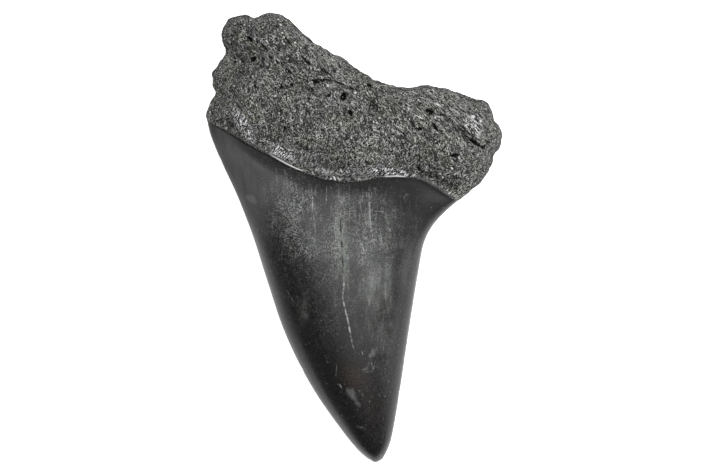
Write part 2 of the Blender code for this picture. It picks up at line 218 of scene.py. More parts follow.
CRACK = [
    (-1.55, 4.6), (-1.6, 2.3), (-1.5, 0.4), (-1.4, -1.5), (-1.25, -3.9), (-1.2, -5.6), (-1.35, -6.8),
    (-0.95, -8.7), (-0.55, -10.6), (-0.25, -12.2), (0.1, -13.6),
]
CRACK_OPEN = [
    (-1.58, 1.6, 1, 0.95, 0.5, 90), (-1.45, -0.65, 1, 0.5, 0.5, 90), (-1.36, -2.7, 1, 0.65, 0.5, 90),
    (-1.5, 3.6, 0.6, 0.35, 0.5, 90),
]
CRACK_PALE = [
    (-1.22, -5.1, 1, 0.8, 0.6, 90), (-1.3, -7, 0.7, 0.9, 0.6, 90), (-0.65, -10.2, 1, 2.6, 0.7, -75),
    (-1.6, 3.4, 0.35, 1.6, 0.6, 90),
]
GREEN_MARKS = [
    (-1.95, 2.1, 1, 2.2, 0.26, 90), (-1.2, 1.7, 0.8, 2, 0.24, 90), (-1.85, -0.6, 1, 1.2, 0.26, 85),
    (-1.05, -0.6, 0.8, 1, 0.24, 95), (-1.1, -2.9, 0.8, 1.6, 0.3, 95), (-1.75, -2.6, 0.5, 1.4, 0.24, 82),
    (-6, -8.5, 0.3, 1.6, 0.5, 80), (2, -5.9, 0.5, 1, 0.4, 80), (4.1, 2.4, 0.35, 1.4, 0.5, 85),
]
PALE_MARKS = [
    (-12.2, 4.75, 1.8, 0.7, 0.4, -35), (-5.7, -9.2, 0.5, 0.9, 0.4, -50), (4, -4.1, 0.55, 1.2, 0.7, -60),
    (3.1, -6, 0.35, 1.3, 0.8, 60), (1, 2.8, 0.45, 1.4, 0.8, 90), (1.82, 3, 0.9, 1.7, 0.2, 91),
    (-0.35, -18.4, 0.8, 0.9, 0.65, -50), (0.95, -22.6, 0.55, 1.1, 0.3, -12),
    (0.45, -19.6, 0.6, 0.7, 0.4, -45), (2.4, -13.4, 0.7, 0.8, 0.4, 40), (1.6, -15.6, 0.8, 0.8, 0.2, -5),
    (1.9, -14.3, 0.45, 1.3, 0.3, 75), (3.2, -15, 0.35, 0.9, 0.6, 70),
]
SCRATCHES = [
    (-5, 5.3, 0.4, 0.8, 91), (-4.93, 4, 0.95, 0.9, 88), (-4.8, 2.4, 0.45, 0.9, 86),
    (-4.62, 0.8, 0.45, 1.2, 90), (-3.25, 5.3, 0.4, 1, 90), (-3.4, 4.2, 0.2, 0.8, 88),
    (-1.8, 5.6, 0.35, 0.9, 91), (-0.6, 5.7, 0.15, 0.7, 90), (1.78, 5, 0.6, 1, 90),
    (1.84, 3.4, 0.6, 1.2, 91), (1.97, 1.9, 0.5, 0.9, 95), (2.2, 0.4, 0.5, 1.3, 99),
    (-7.9, 6.2, 0.25, 1.4, 93), (-9.2, 7.6, 0.25, 1.1, 95), (2.95, 3.3, 0.8, 0.75, -6),
    (-2.65, -1.2, 0.25, 0.9, 88), (-3.6, -4.6, 0.25, 1.3, 66), (-2.1, -15.6, 0.25, 0.7, 86),
    (3.55, -12.7, 0.25, 0.6, 84), (-7.55, -6.9, 0.3, 0.8, -60), (1, -0.9, 0.7, 0.4, -72),
    (1.5, -1.9, 0.7, 0.3, 60), (0.8, -2.6, 0.6, 0.35, 40), (1.1, -1.5, 0.6, 0.25, 10),
    (-5.5, -1.5, 0.7, 0.3, 35), (-5.35, -1.2, 0.6, 0.25, -30), (4.1, 1, 0.7, 0.25, 40),
    (6, 5, 0.25, 0.35, 60), (6.3, 5.2, 0.2, 0.2, 20), (2.05, -14.6, 0.25, 0.8, -78),
    (2.4, -15.2, 0.2, 0.5, 80), (1.7, -15.8, 0.25, 0.6, 5), (-0.25, -18.95, 0.25, 0.4, 75),
]
SPECKS = [
    (2.98, 2.41), (3.88, 4), (4.23, 1.16), (3.88, 0.86), (-4.87, 0.1), (-2.27, -2.55), (-4.95, 4.2),
    (-4.75, 3.7), (5.03, -3.5), (-5.46, -1.4), (1.43, -2.05), (-8.16, 1.09), (0.78, -2.8), (-2.5, -1),
    (-3.2, -11.8), (-1.14, -13.1), (-1.85, -13.2), (1, -13.65), (4.6, -12.05), (0.97, -18.5), (2.2, -18.9),
    (1.83, -19.3), (3.25, -19.8), (2.95, -16.35), (-1.6, -17.6), (-1.4, -16.5), (-2.7, 6), (0.1, -9.6),
    (1.18, -21.9),
]
SPECK_RADIUS = 0.12
HAZE = [
    (-1.5, 0, 0.85, 5.4, 5.6, 90), (-8.5, 5.2, 0.65, 4.2, 2.4, -50), (-10.2, 2.6, 0.4, 2.6, 1.2, -62),
    (1.8, -4.6, 0.7, 5.4, 3.2, 97), (3.2, -11.5, 0.4, 4.5, 1.4, 97), (-6.3, 3.2, 0.3, 3, 1.3, 92),
    (-3.5, 3.4, -0.5, 3.2, 0.6, 90), (-1.7, 1, 0.5, 4.6, 0.6, 90), (-0.4, 3, -0.15, 2.8, 0.35, 90),
    (0.1, 0.6, -0.45, 3.2, 0.9, 90), (0.8, 3.6, 0.5, 3.2, 1.7, 0), (-6.2, 5, 0.4, 2.8, 1.6, -22),
    (0.2, -4.4, -0.4, 2, 1, 95), (2.9, -1.5, 0.35, 1.6, 0.7, 90), (-5.6, -1, 0.35, 1.8, 0.8, 90),
    (-7.3, -0.6, 0.35, 1.9, 1, 85), (-0.3, -2.2, -0.4, 2.2, 0.8, 95), (5, -6.4, -0.4, 1.9, 0.8, 92),
    (6.9, -0.6, 0.14, 3.4, 1, 85), (-3.2, -10.5, 0.12, 3.4, 1.6, 75), (-9.6, 7.3, -0.5, 1.8, 1, -40),
    (0.9, 2.6, 0.25, 1.4, 0.6, 90), (-2.9, 3.6, -0.2, 1.5, 0.8, 90), (-8, 4.2, 0.3, 1.3, 0.9, -20),
    (3, -4.4, 0.3, 1.3, 0.7, 70), (3.6, -3.2, 0.5, 3.4, 0.9, 97), (-3.2, -3.5, -0.3, 3, 0.8, 88),
    (0.4, -6.5, -0.35, 2.6, 0.8, 95),
]
STREAKY = [(-0.8, 4, 0.6, 6, 1.7, 0)]
SMOOTH = [(3.2, -5.5, 1, 4.2, 2.6, 92), (2.6, -13, 1, 6, 3.6, 97), (7.5, -3, 1, 8, 2, 80)]
STAIN = [(-0.2, -16.6, 0.7, 1.6, 1, -50), (2.3, -20, 0.14, 4.5, 2, -75), (1, -12, 0.14, 5, 4, 90)]
MASK_WIDTH = 0.6
SCRATCH_ZONE = 0.5
# Dull places near the rim: rougher enamel, with less haze and sheen, which paints the shadow under the rim
DULL = [
    (6.4, 4.4, 1, 3.3, 2.3, -20), (2, 6.1, 0.9, 6, 0.75, -1), (1.2, 3.2, 0.55, 3.4, 2.2, 0),
    (-5.5, 4.6, 0.5, 3.4, 2, -20), (-4.5, 6.8, 0.7, 3, 0.4, -10), (-7.5, 7.7, 1, 3.4, 0.6, -28),
    (-12.5, 10.5, 0.9, 4.6, 0.7, -32),
]

# Marks on the bone, with the same values: the painted highlight along the rim and how far it is
# from the edge, zones of painted glints on a darkened base near it, single bright chips and painted
# glints, paler patches, darker patches of painted shade, growth layers, the smooth collar at the
# rim's right end, and the crown's painted sheen at its left shoulder. Last are how much painted
# light brightens the bone towards the rim, over what distance, and how steeply the marks end that
# have clear edges

# Painted highlight: a bright line along the lip of bone at the rim
RIM_SHINE = [(-8.1, 8.8, 1, 2.4, 1.2, -27), (4.9, 7.3, 0.8, 1.5, 1.2, -3)]
RIM_SHINE_FROM_EDGE = 0.26
RIM_SHINE_WIDTH = 0.085
# Zones of painted glints: white strands on a darkened base, with lower roughness
GLOSS = [
    (-8.6, 10.35, 1, 1.6, 0.75, -30), (-13.1, 13.5, 1, 2.3, 0.7, -60), (-4.3, 8.3, 0.34, 2.7, 0.7, -13),
    (4.4, 7.9, 1, 1.9, 0.5, -6), (14.1, 13.4, 0.55, 1.7, 1.3, -45), (0.4, 7.95, 0.34, 3, 0.65, 0),
]
# Bright chips of bone, and painted glints: white spots standing in for glints
CHIPS = [
    (-2.5, 18.1, 0.7, 0.95, 0.07, -12), (-0.7, 17.55, 0.7, 0.9, 0.07, -18),
    (-11.35, 18.35, 0.6, 0.8, 0.06, -8), (-10.2, 18.9, 0.6, 0.6, 0.07, -59),
    (-8.3, 16.45, 0.6, 0.75, 0.07, -58), (-7.4, 23.95, 0.6, 1.1, 0.07, -50),
    (-5.5, 21.35, 0.55, 0.9, 0.07, -41), (-3.1, 20, 0.55, 0.8, 0.07, -30),
    (12.4, 14.7, 0.6, 0.75, 0.07, -37), (13.4, 13.1, 0.6, 0.9, 0.07, -45), (11, 13.6, 0.55, 0.7, 0.07, -40),
    (-12.6, 16.6, 0.55, 0.8, 0.07, 65), (7.74, 14.43, 0.85, 0.69, 0.09, -28),
    (9.9, 14.5, 0.75, 0.5, 0.09, -20), (7.3, 17.35, 0.65, 0.7, 0.08, -20), (8.2, 16.7, 0.7, 0.8, 0.08, -21),
    (9.5, 16.1, 0.7, 0.9, 0.08, -18), (6.6, 15.3, 0.6, 0.5, 0.08, -35), (0.18, 17.35, 0.7, 0.26, 0.22, 0),
    (14.1, 14.5, 1, 0.3, 0.24, 0), (11.6, 15.4, 0.65, 0.6, 0.08, -35), (15, 13.95, 0.8, 0.26, 0.14, 80),
    (13.3, 13.5, 1, 0.2, 0.12, 20), (14.35, 13.4, 0.9, 0.2, 0.12, 70), (14.8, 11.95, 0.8, 0.5, 0.1, -30),
    (14.9, 12.6, 0.7, 0.3, 0.1, -30), (9.6, 14.35, 0.9, 0.14, 0.12, 0), (9.9, 15.9, 0.6, 0.3, 0.1, -15),
    (-8.5, 24.45, 1, 0.15, 0.14, 0), (-7, 23.3, 0.9, 0.14, 0.12, 0), (-8.3, 23.15, 0.9, 0.18, 0.1, -45),
    (-9.2, 23.2, 0.8, 0.14, 0.12, 0), (-7.8, 21.4, 0.8, 0.18, 0.12, 60), (-14.3, 23.7, 0.9, 0.12, 0.12, 0),
    (-12.4, 25.3, 0.7, 0.2, 0.08, -60), (-3.8, 19.05, 0.9, 0.16, 0.12, -50),
    (-3.1, 18.1, 1, 0.18, 0.1, -60), (-5, 18.6, 0.9, 0.2, 0.12, -10), (-10, 20.1, 0.8, 0.16, 0.1, 10),
    (-6.4, 19.6, 0.8, 0.14, 0.12, -50), (-1.5, 8.05, 1, 0.32, 0.09, -60), (-0.85, 8, 0.9, 0.26, 0.08, -55),
    (-2.3, 7.2, 1, 0.4, 0.12, -65), (-1.8, 7.15, 0.9, 0.32, 0.1, -50), (-4.9, 7.85, 0.9, 0.3, 0.09, -65),
    (-0.3, 11.9, 0.9, 0.14, 0.12, -30), (2.35, 12.9, 0.9, 0.14, 0.12, -40), (3, 14.3, 0.8, 0.18, 0.1, -40),
    (-4.3, 11.6, 0.6, 0.55, 0.07, 40), (-9.3, 16.9, 0.7, 0.3, 0.2, 20),
]
PALE_BONE = [
    (-12.2, 18.4, 0.8, 1.4, 0.8, 70), (6.3, 15.2, 0.6, 2.2, 0.8, 80), (-15.3, 21.1, 0.6, 0.8, 0.6, 0),
    (-0.1, 15.6, 0.5, 1, 0.7, -20), (1.2, 9.6, 0.4, 3, 1.2, 0), (10.5, 12, 0.5, 1.6, 1, -30),
    (-3.2, 12.4, 0.5, 1.6, 1, -20), (9.5, 14.2, 0.6, 1.1, 0.4, -20), (8.5, 11.6, 0.5, 3.2, 1.9, -20),
    (-0.5, 12, 0.15, 8, 3.5, -5),
]
# Painted shade: darker patches of bone, along the rim and in its hollows above all
SHADED_BONE = [
    (-12.2, 22.4, 0.16, 4.2, 3.6, -30), (-14.8, 13.5, 0.8, 2.6, 0.8, -38), (2.2, 15.8, 0.8, 0.8, 0.6, 30),
    (9.5, 7.3, 0.9, 1.5, 0.32, -28), (11.6, 6.4, 0.9, 1.3, 0.4, -25), (8, 8.2, 0.8, 0.6, 0.35, -50),
    (-13.6, 21.6, 0.5, 1.6, 0.6, -35), (12.8, 12.2, 0.5, 1.8, 0.5, -40), (-7.6, 21.8, 0.5, 1.2, 0.5, -50),
    (-12.9, 13.4, 0.35, 1.6, 0.8, -30), (-10.7, 25.2, 0.3, 2.2, 1.3, -10), (-3, 8.1, 0.35, 2.8, 0.7, -8),
    (0.6, 7.9, 0.3, 3, 0.6, 0), (10.6, 6.9, 0.45, 1.9, 0.55, -25),
]
LAYERS = [(13.6, 13.6, 1, 4.2, 3, -28), (8.5, 16.2, 0.8, 3.4, 1.5, -20), (-4.8, 22.6, 0.8, 5, 1.4, -42)]
COLLAR = [(9.9, 6.1, 1, 2.4, 1.5, -32)]
COLLAR_FROM_EDGE = 0.25
COLLAR_WIDTH = 0.22
# Painted sheen: a lighter matte grey standing in for reflected light on the crown's left shoulder and edge
FILM = [
    (-14.9, 9.6, 1, 5.4, 2.3, -66), (-11.8, 7.2, 0.4, 3, 1.3, -45), (-11.7, 8.8, -0.2, 2.4, 0.9, -45),
    (-12.2, 4.2, 0.7, 3.6, 1.5, -66), (-9.9, 7, -0.35, 2, 1.2, -35), (-10, 4.6, 0.35, 2.4, 1.2, -60),
]
# Painted light: the bone's colour is made lighter towards the rim, where its slope faces away from the
# lights
SLOPE_LIFT = 0.66
SLOPE_LIFT_WIDTH = 3.4
MARK_STEEPNESS = 2

# Nicks in the crown's edges: depth, size, how far they reach in, and the level of the noise that
# starts them

NICK_DEPTH = 0.09
NICK_SIZE = 0.7
NICK_REACH = 0.25
NICK_THRESHOLD = 0.15
NICK_SEED = 9

# Materials: the middle of the felt's noise, how far the enamel's marks stretch along the crown,
# and how strongly bone and enamel refract light

FELT_MIDDLE = 0.515
LENGTHWISE_SCALE = 0.22
BONE_IOR = 1.3
ENAMEL_IOR = 1.45

# Camera: the picture's width at the outline's level, and the point that it looks down on

IMAGE_WIDTH = 84.96
CAMERA_AIM = (0, 0.366)
LENS = 150
SENSOR = 36
OUTLINE_LEVEL = 2.6

# Floor, lights as place, size and strength, and the surroundings: how much light they give, and
# how bright they look behind the tooth

FLOOR_RADIUS = 900
FLOOR_DROP = 0.02
FLOOR_GLOW = 0.8
LIGHTS = {
    "overhead": ((50, 110, 500), 640, 6.4),
    "core": ((75, 90, 480), 60, 80),
    "right_side": ((520, 40, 205), 430, 8.9),
}
LIT_BY_SURROUNDINGS = 0.12
SEEN_SURROUNDINGS = 1.2
PALE_GREY = (0.9, 0.9, 0.9, 1)
WHITE = (1, 1, 1, 1)


def spline(points):
    """A smooth line through these points, as closely spaced points."""
    steps = 12
    knots = [Vector(point) for point in points]
    ways = [
        (after - before).normalized()
        for before, after in zip(knots[:1] + knots[:-1], knots[1:] + knots[-1:])
    ]
    line = [points[0]]
    for i in range(len(knots) - 1):
        reach = (knots[i + 1] - knots[i]).length / 3
        handles = knots[i] + ways[i] * reach, knots[i + 1] - ways[i + 1] * reach
        curve = geometry.interpolate_bezier(knots[i], *handles, knots[i + 1], steps + 1)
        line += [(point.x, point.y) for point in curve[1:]]
    return np.array(line)


def along(line, share):
    """The points at these shares of a line's length."""
    lengths = np.linalg.norm(np.diff(line, axis=0), axis=1)
    run = np.concatenate(([0], np.cumsum(lengths))) / lengths.sum()
    return np.stack([np.interp(share, run, line[:, axis]) for axis in (0, 1)], axis=-1)


def graph(knots, at):
    """The values, at these places, of a smooth graph through these knots."""
    line = spline(knots)
    return np.interp(at, line[:, 0], line[:, 1])


def distance(plan, line):
    """How far each point of a plan is from a line."""
    start = line[:-1]
    way = np.diff(line, axis=0)
    square = (way**2).sum(axis=1)
    points = plan.reshape(-1, 2)
    at_once = 2000
    found = []
    for block in np.array_split(points, len(points) // at_once + 1):
        offset = block[:, None] - start
        share = np.clip((offset * way).sum(axis=2) / square, 0, 1)
        gap = offset - share[..., None] * way
        found.append(np.sqrt((gap**2).sum(axis=2).min(axis=1)))
    return np.concatenate(found).reshape(plan.shape[:-1])


def quarter_round(share):
    """A quarter of a circle, rising from 0 at 0 to 1 at 1 and beyond."""
    return np.sqrt(1 - (1 - np.clip(share, 0, 1)) ** 2)


def blend(first, second, share):
    """The first heights at a share of 0, passing quickly and then gently into the second at 1."""
    return first + (second - first) * (1 - (1 - np.clip(share, 0, 1)) ** 2)


def rounded_shares(count, first_band, last_band):
    """Shares of a strip at even steps over it, where the strip's ends round off over these bands."""
    quarter = math.pi / 2
    run = np.linspace(0, 1 + (quarter - 1) * (first_band + last_band), count + 1)
    to_end = run[-1] - run
    shares = run - (quarter - 1) * first_band
    if first_band:
        in_first = run < quarter * first_band
        shares[in_first] = first_band * (1 - np.cos(run[in_first] / first_band))
    if last_band:
        in_last = to_end < quarter * last_band
        shares[in_last] = 1 - last_band * (1 - np.cos(to_end[in_last] / last_band))
    return shares


def patch(top, bottom, left, right, across, down):
    """A grid of plan points that fills the space between four lines that meet at their ends."""
    u = across[..., None]
    v = down[:, None, None]
    sides = (1 - u) * along(left, down)[:, None] + u * along(right, down)[:, None]
    ends = (1 - v) * along(top, across) + v * along(bottom, across)
    corners = (1 - v) * ((1 - u) * top[0] + u * top[-1]) + v * ((1 - u) * bottom[0] + u * bottom[-1])
    return sides + ends - corners


def turned(plan, x, y, turn):
    """How far each point of a plan is from x, y along a direction in degrees, and across it."""
    cosine = math.cos(math.radians(turn))
    sine = math.sin(math.radians(turn))
    east = plan[..., 0] - x
    north = plan[..., 1] - y
    return east * cosine + north * sine, north * cosine - east * sine


def bumps(plan, table, steepness=1):
    """The sum of rounded bumps: x, y, rise, half-width along, half-width across, turn in degrees."""
    total = np.zeros(plan.shape[:-1])
    for x, y, rise, length, width, turn in table:
        far, wide = turned(plan, x, y, turn)
        total += rise * np.exp(-(((far / length) ** 2 + (wide / width) ** 2) ** steepness))
    return total


def waves(points, size, seed):
    """Smooth noise from about -1 to 1 with features of this size, another part of it for each seed."""
    shift = Vector((17.3, 5.1, 9.7)) * seed
    flat = points.reshape(-1, points.shape[-1])
    values = [noise.noise(Vector(point).to_3d() / size + shift) for point in flat]
    return np.array(values).reshape(points.shape[:-1])


def ledges(plan):
    """The stepped edges of growth layers, strongest in the middle of their zones."""
    zones = np.clip(bumps(plan, LEDGE_ZONES), 0, 1)
    across = plan[..., 1] * math.cos(LEDGE_TURN) - plan[..., 0] * math.sin(LEDGE_TURN)
    phase = (across / LEDGE_SPACING + LEDGE_WANDER * waves(plan, LEDGE_WANDER_SIZE, LEDGE_SEED)) % 1
    return LEDGE_HEIGHT * zones * (phase - 0.5)


def face_shares(is_upper):
    """The shares across and down one face, the root's and then the crown's, closer near the outline."""
    root_across = rounded_shares(ROOT_COLUMNS, ROOT_SIDE_BAND, ROOT_SIDE_BAND)
    root_down = rounded_shares(ROOT_ROWS, ROOT_TOP_BAND, LIP_BAND)
    crown_down = rounded_shares(CROWN_ROWS, 0, TIP_BAND) ** CLOSER_TO_NECK
    near_rim = np.exp(-crown_down / SIDE_BAND_CHANGE)
    bands = CROWN_SIDE_BAND + (ROOT_SIDE_BAND - CROWN_SIDE_BAND) * near_rim
    crown_across = np.array([rounded_shares(ROOT_COLUMNS // COARSER, band, band) for band in bands])
    crown_across[0] = root_across[::COARSER]
    root_across = np.tile(root_across, (ROOT_ROWS + 1, 1))
    if is_upper:
        return root_across, root_down, crown_across, crown_down
    return (
        root_across[::COARSER, ::COARSER], root_down[::COARSER],
        crown_across[::CROWN_COARSER, ::CROWN_COARSER], crown_down[::CROWN_COARSER],
    )


def face_plan(rim, shares):
    """One face seen from above: the root's grid of points, and the crown's."""
    root_sides = spline(ROOT_LEFT_EDGE), spline(ROOT_RIGHT_EDGE)
    crown_sides = spline(CROWN_LEFT_EDGE), spline(CROWN_RIGHT_EDGE)
    root = patch(spline(ROOT_TOP_EDGE), rim, *root_sides, *shares[:2])
    return root, patch(rim, spline(TIP_EDGE), *crown_sides, *shares[2:])


def outline():
    """The whole outline as one closed line."""
    return np.concatenate([
        spline(ROOT_TOP_EDGE), spline(ROOT_RIGHT_EDGE), spline(CROWN_RIGHT_EDGE),
        spline(TIP_EDGE)[::-1], spline(CROWN_LEFT_EDGE)[::-1], spline(ROOT_LEFT_EDGE)[::-1],
    ])


def bulge(across, down):
    """The crown's cross-section, from 0 at its two cutting edges to 1 at its ridge."""
    ridge = graph(RIDGE_SHARE_ACROSS, down)[:, None]
    side = np.where(across < ridge, 1 - across / ridge, (across - ridge) / (1 - ridge))
    tip = quarter_round((1 - down) / TIP_ROUND_SHARE)[:, None]
    return np.sqrt(np.clip(1 - side**2, 0, 1)) * tip


def lingual_face():
    """The upper face: the root's points, the crown's, and how much of its lumps the root shows."""
    rim = spline(LINGUAL_RIM)
    shares = face_shares(is_upper=True)
    root, crown = face_plan(rim, shares)
    root_across, _, crown_across, down = shares

    edge = graph(OUTLINE_HEIGHT, crown[..., 1])
    groove = NECK_GROOVE_DEPTH * np.exp(-distance(crown, rim) / NECK_GROOVE_WIDTH)
    ridge = graph(LINGUAL_RIDGE, down)[:, None] - groove
    flatness = graph(LINGUAL_FLATNESS, down)[:, None]
    crown_z = edge + (ridge - edge) * bulge(crown_across, down) ** flatness

    edge = graph(OUTLINE_HEIGHT, root[..., 1])
    from_edge = distance(root, outline())
    from_rim = distance(root, rim)
    neck_rise = LINGUAL_RIDGE[0][1] - NECK_GROOVE_DEPTH - edge[-1]
    neck = edge + neck_rise * bulge(root_across, np.zeros(len(root))) ** LINGUAL_FLATNESS[0][1]
    lip = neck + LIP_HEIGHT * quarter_round(from_edge / LIP_LENGTH) * quarter_round(from_rim / LIP_RADIUS)
    body = ROOT_LINGUAL_HEIGHT + bumps(root, LINGUAL_SWELLINGS) + ledges(root)
    body = edge + (body - edge) * quarter_round(from_edge / ROOT_EDGE_RADIUS)
    root_z = blend(lip, body, from_rim / LIP_TO_BODY_LENGTH) - bumps(root, PITS, PIT_STEEPNESS)
    return np.dstack([root, root_z]), np.dstack([crown, crown_z]), np.clip(from_rim / LUMP_FADE, 0, 1)


def labial_face():
    """The lower face, in the same three parts."""
    rim = spline(LABIAL_RIM)
    shares = face_shares(is_upper=False)
    root, crown = face_plan(rim, shares)
    root_across, _, crown_across, down = shares

    edge = graph(OUTLINE_HEIGHT, crown[..., 1])
    ridge = graph(LABIAL_RIDGE, down)[:, None]
    crown_z = edge - (edge - ridge) * bulge(crown_across, down) ** LABIAL_FLATNESS

    edge = graph(OUTLINE_HEIGHT, root[..., 1])
    from_rim = distance(root, rim)
    neck_drop = edge[-1] - LABIAL_RIDGE[0][1]
    neck = edge - neck_drop * bulge(root_across, np.zeros(len(root))) ** LABIAL_FLATNESS
    body = ROOT_LABIAL_HEIGHT - bumps(root, LABIAL_SWELLINGS)
    body = edge - (edge - body) * quarter_round(distance(root, outline()) / ROOT_EDGE_RADIUS)
    to_body = from_rim / LABIAL_NECK_LENGTH
    step_z = LABIAL_ENAMEL_STEP * quarter_round(LABIAL_STEP_RISE * to_body) * np.clip(1 - to_body, 0, 1)
    root_z = blend(neck, body, to_body) + step_z
    return np.dstack([root, root_z]), np.dstack([crown, crown_z]), np.clip(from_rim / LUMP_FADE, 0, 1)


def numbered(grids):
    """Numbers the points of these grids in one run, one array of numbers for each grid."""
    numbers = []
    first = 0
    for grid in grids:
        rows, columns = grid.shape[:2]
        numbers.append(first + np.arange(rows * columns).reshape(rows, columns))
        first += rows * columns
    return numbers


def four_sided(numbers):
    """The faces between the points of a grid."""
    corners = numbers[:-1, :-1], numbers[1:, :-1], numbers[1:, 1:], numbers[:-1, 1:]
    return np.stack(corners, axis=-1).reshape(-1, 4).tolist()


def between(run, step):
    """The points that lie between every two of this run's points where a coarser grid has an edge."""
    found = {}
    run = run.tolist()
    for i in range(0, len(run) - 1, step):
        inner = run[i + 1:i + step]
        found[run[i], run[i + step]] = inner
        found[run[i + step], run[i]] = inner[::-1]
    return found


def with_inner(face, found):
    """A face with the points added that lie on its edges."""
    corners = []
    for a, b in zip(face, face[1:] + face[:1]):
        corners += [a, *found.get((a, b), [])]
    return corners


def without_unused(points, faces):
    """The points that the faces use, the faces with those points' new numbers, and the old numbers."""
    used, new_numbers = np.unique(np.concatenate(faces, axis=None), return_inverse=True)
    ends = np.cumsum([len(face) for face in faces])
    return points[used], [face.tolist() for face in np.split(new_numbers, ends[:-1])], used


def grain_way(point):
    """The direction of the bone's strands at a place, as the near places of the grain's table say."""
    total = Vector((0, 0))
    for x, y, turn in GRAIN:
        near = 1 / (GRAIN_BLEND + (point.x - x) ** 2 + (point.y - y) ** 2) ** 2
        total += near * Vector((math.cos(math.radians(2 * turn)), math.sin(math.radians(2 * turn))))
    return math.atan2(total.y, total.x) / 2


def grain_lengths(points):
    """Each point's place along and across the grain, as powers of x and y fitted to its turns."""
    highest = GRAIN_DEGREE + 1
    powers = [(i, j) for i in range(highest) for j in range(highest - i) if i + j]
    x, y, turn = np.array(GRAIN).T
    x, y, turn = x / GRAIN_UNIT, y / GRAIN_UNIT, np.radians(turn)
    east = [i * x**max(i - 1, 0) * y**j for i, j in powers]
    north = [j * x**i * y**max(j - 1, 0) for i, j in powers]
    slopes = np.concatenate([east, north], axis=1).T
    x, y = points[:, 0] / GRAIN_UNIT, points[:, 1] / GRAIN_UNIT
    terms = np.array([x**i * y**j for i, j in powers])
    ways = (np.cos(turn), np.sin(turn)), (-np.sin(turn), np.cos(turn))
    return [
        GRAIN_UNIT * np.linalg.lstsq(slopes, np.concatenate(way), rcond=None)[0] @ terms for way in ways
    ]


def strand_relief(points, normals, share):
    """Heights of short strands of bone and of pores between them, and each strand's own tone."""
    generator = np.random.default_rng(SEED)
    bone = np.flatnonzero(share > LEAST_BONE_SHARE)
    tree = kdtree.KDTree(len(bone))
    for number in bone:
        tree.insert(points[number], int(number))
    tree.balance()
    heights = np.zeros(len(points))
    tones = np.full(len(points), 0.5)
    pores = np.zeros(len(points))
    spacing = np.array([tree.find_n(points[number], NEIGHBOURS)[-1][2] for number in bone])
    chance = spacing**2 / (spacing**2).sum()
    for number in generator.choice(bone, STRANDS + PORES, p=chance):
        is_pore = generator.random() < PORES / (STRANDS + PORES)
        if is_pore:
            width = generator.uniform(*PORE_HALF_WIDTH)
            length = width * generator.uniform(*PORE_LENGTHENING)
            rise = -generator.uniform(*PORE_DEPTH)
        else:
            length = generator.uniform(*STRAND_HALF_LENGTH)
            width = generator.uniform(*STRAND_HALF_WIDTH)
            rise = generator.uniform(*STRAND_HEIGHT)
        centre = Vector(points[number])
        normal = Vector(normals[number])
        turn = grain_way(centre) + math.radians(generator.normal(0, STRAND_SCATTER))
        way = Vector((math.cos(turn), math.sin(turn), 0))
        way = (way - normal * way.dot(normal)).normalized()
        side = normal.cross(way)
        bend = generator.normal(0, STRAND_BEND) / length
        tone = generator.random()
        near = np.array([found[1] for found in tree.find_range(centre, length + width)])
        offset = points[near] - points[number]
        far = offset @ np.array(way)
        wide = offset @ np.array(side) + bend * far**2
        profile = np.clip(1 - (far / length) ** 4 - (wide / width) ** 2, 0, 1)
        if is_pore:
            pores[near] = np.minimum(pores[near], rise * profile)
            continue
        higher = rise * profile > heights[near]
        heights[near[higher]] = rise * profile[higher]
        tones[near[higher]] = tone
    return (heights - heights[bone].mean() + pores) * share, tones


def crack_side(points):
    """How far each point is to the right of the crack's line, below 0 for left, held to a range."""
    line = spline(CRACK)[::-1]
    side = points[:, 0] - np.interp(points[:, 1], line[:, 1], line[:, 0])
    return np.clip(side, -MASK_WIDTH, MASK_WIDTH)


def scratch_side(points):
    """How far each point is to one side of the nearest scratch's line, held to a range."""
    side = np.full(len(points), MASK_WIDTH)
    nearest = np.full(len(points), np.inf)
    for x, y, _, length, turn in SCRATCHES:
        far, across = turned(points, x, y, turn)
        gap = np.hypot(across, np.maximum(np.abs(far) - length, 0))
        closer = gap < nearest
        side[closer] = across[closer]
        nearest[closer] = gap[closer]
    return np.clip(side, -MASK_WIDTH, MASK_WIDTH)


def peak(values, middle, width):
    """1 where a value is at the middle, falling towards 0 on both sides of it over a width."""
    return np.exp(-(((values - middle) / width) ** 2))


def spots(points, steepness=1, **tables):
    """How strongly each table marks each point, held between 0 and 1."""
    return {name: np.clip(bumps(points, table, steepness), 0, 1) for name, table in tables.items()}


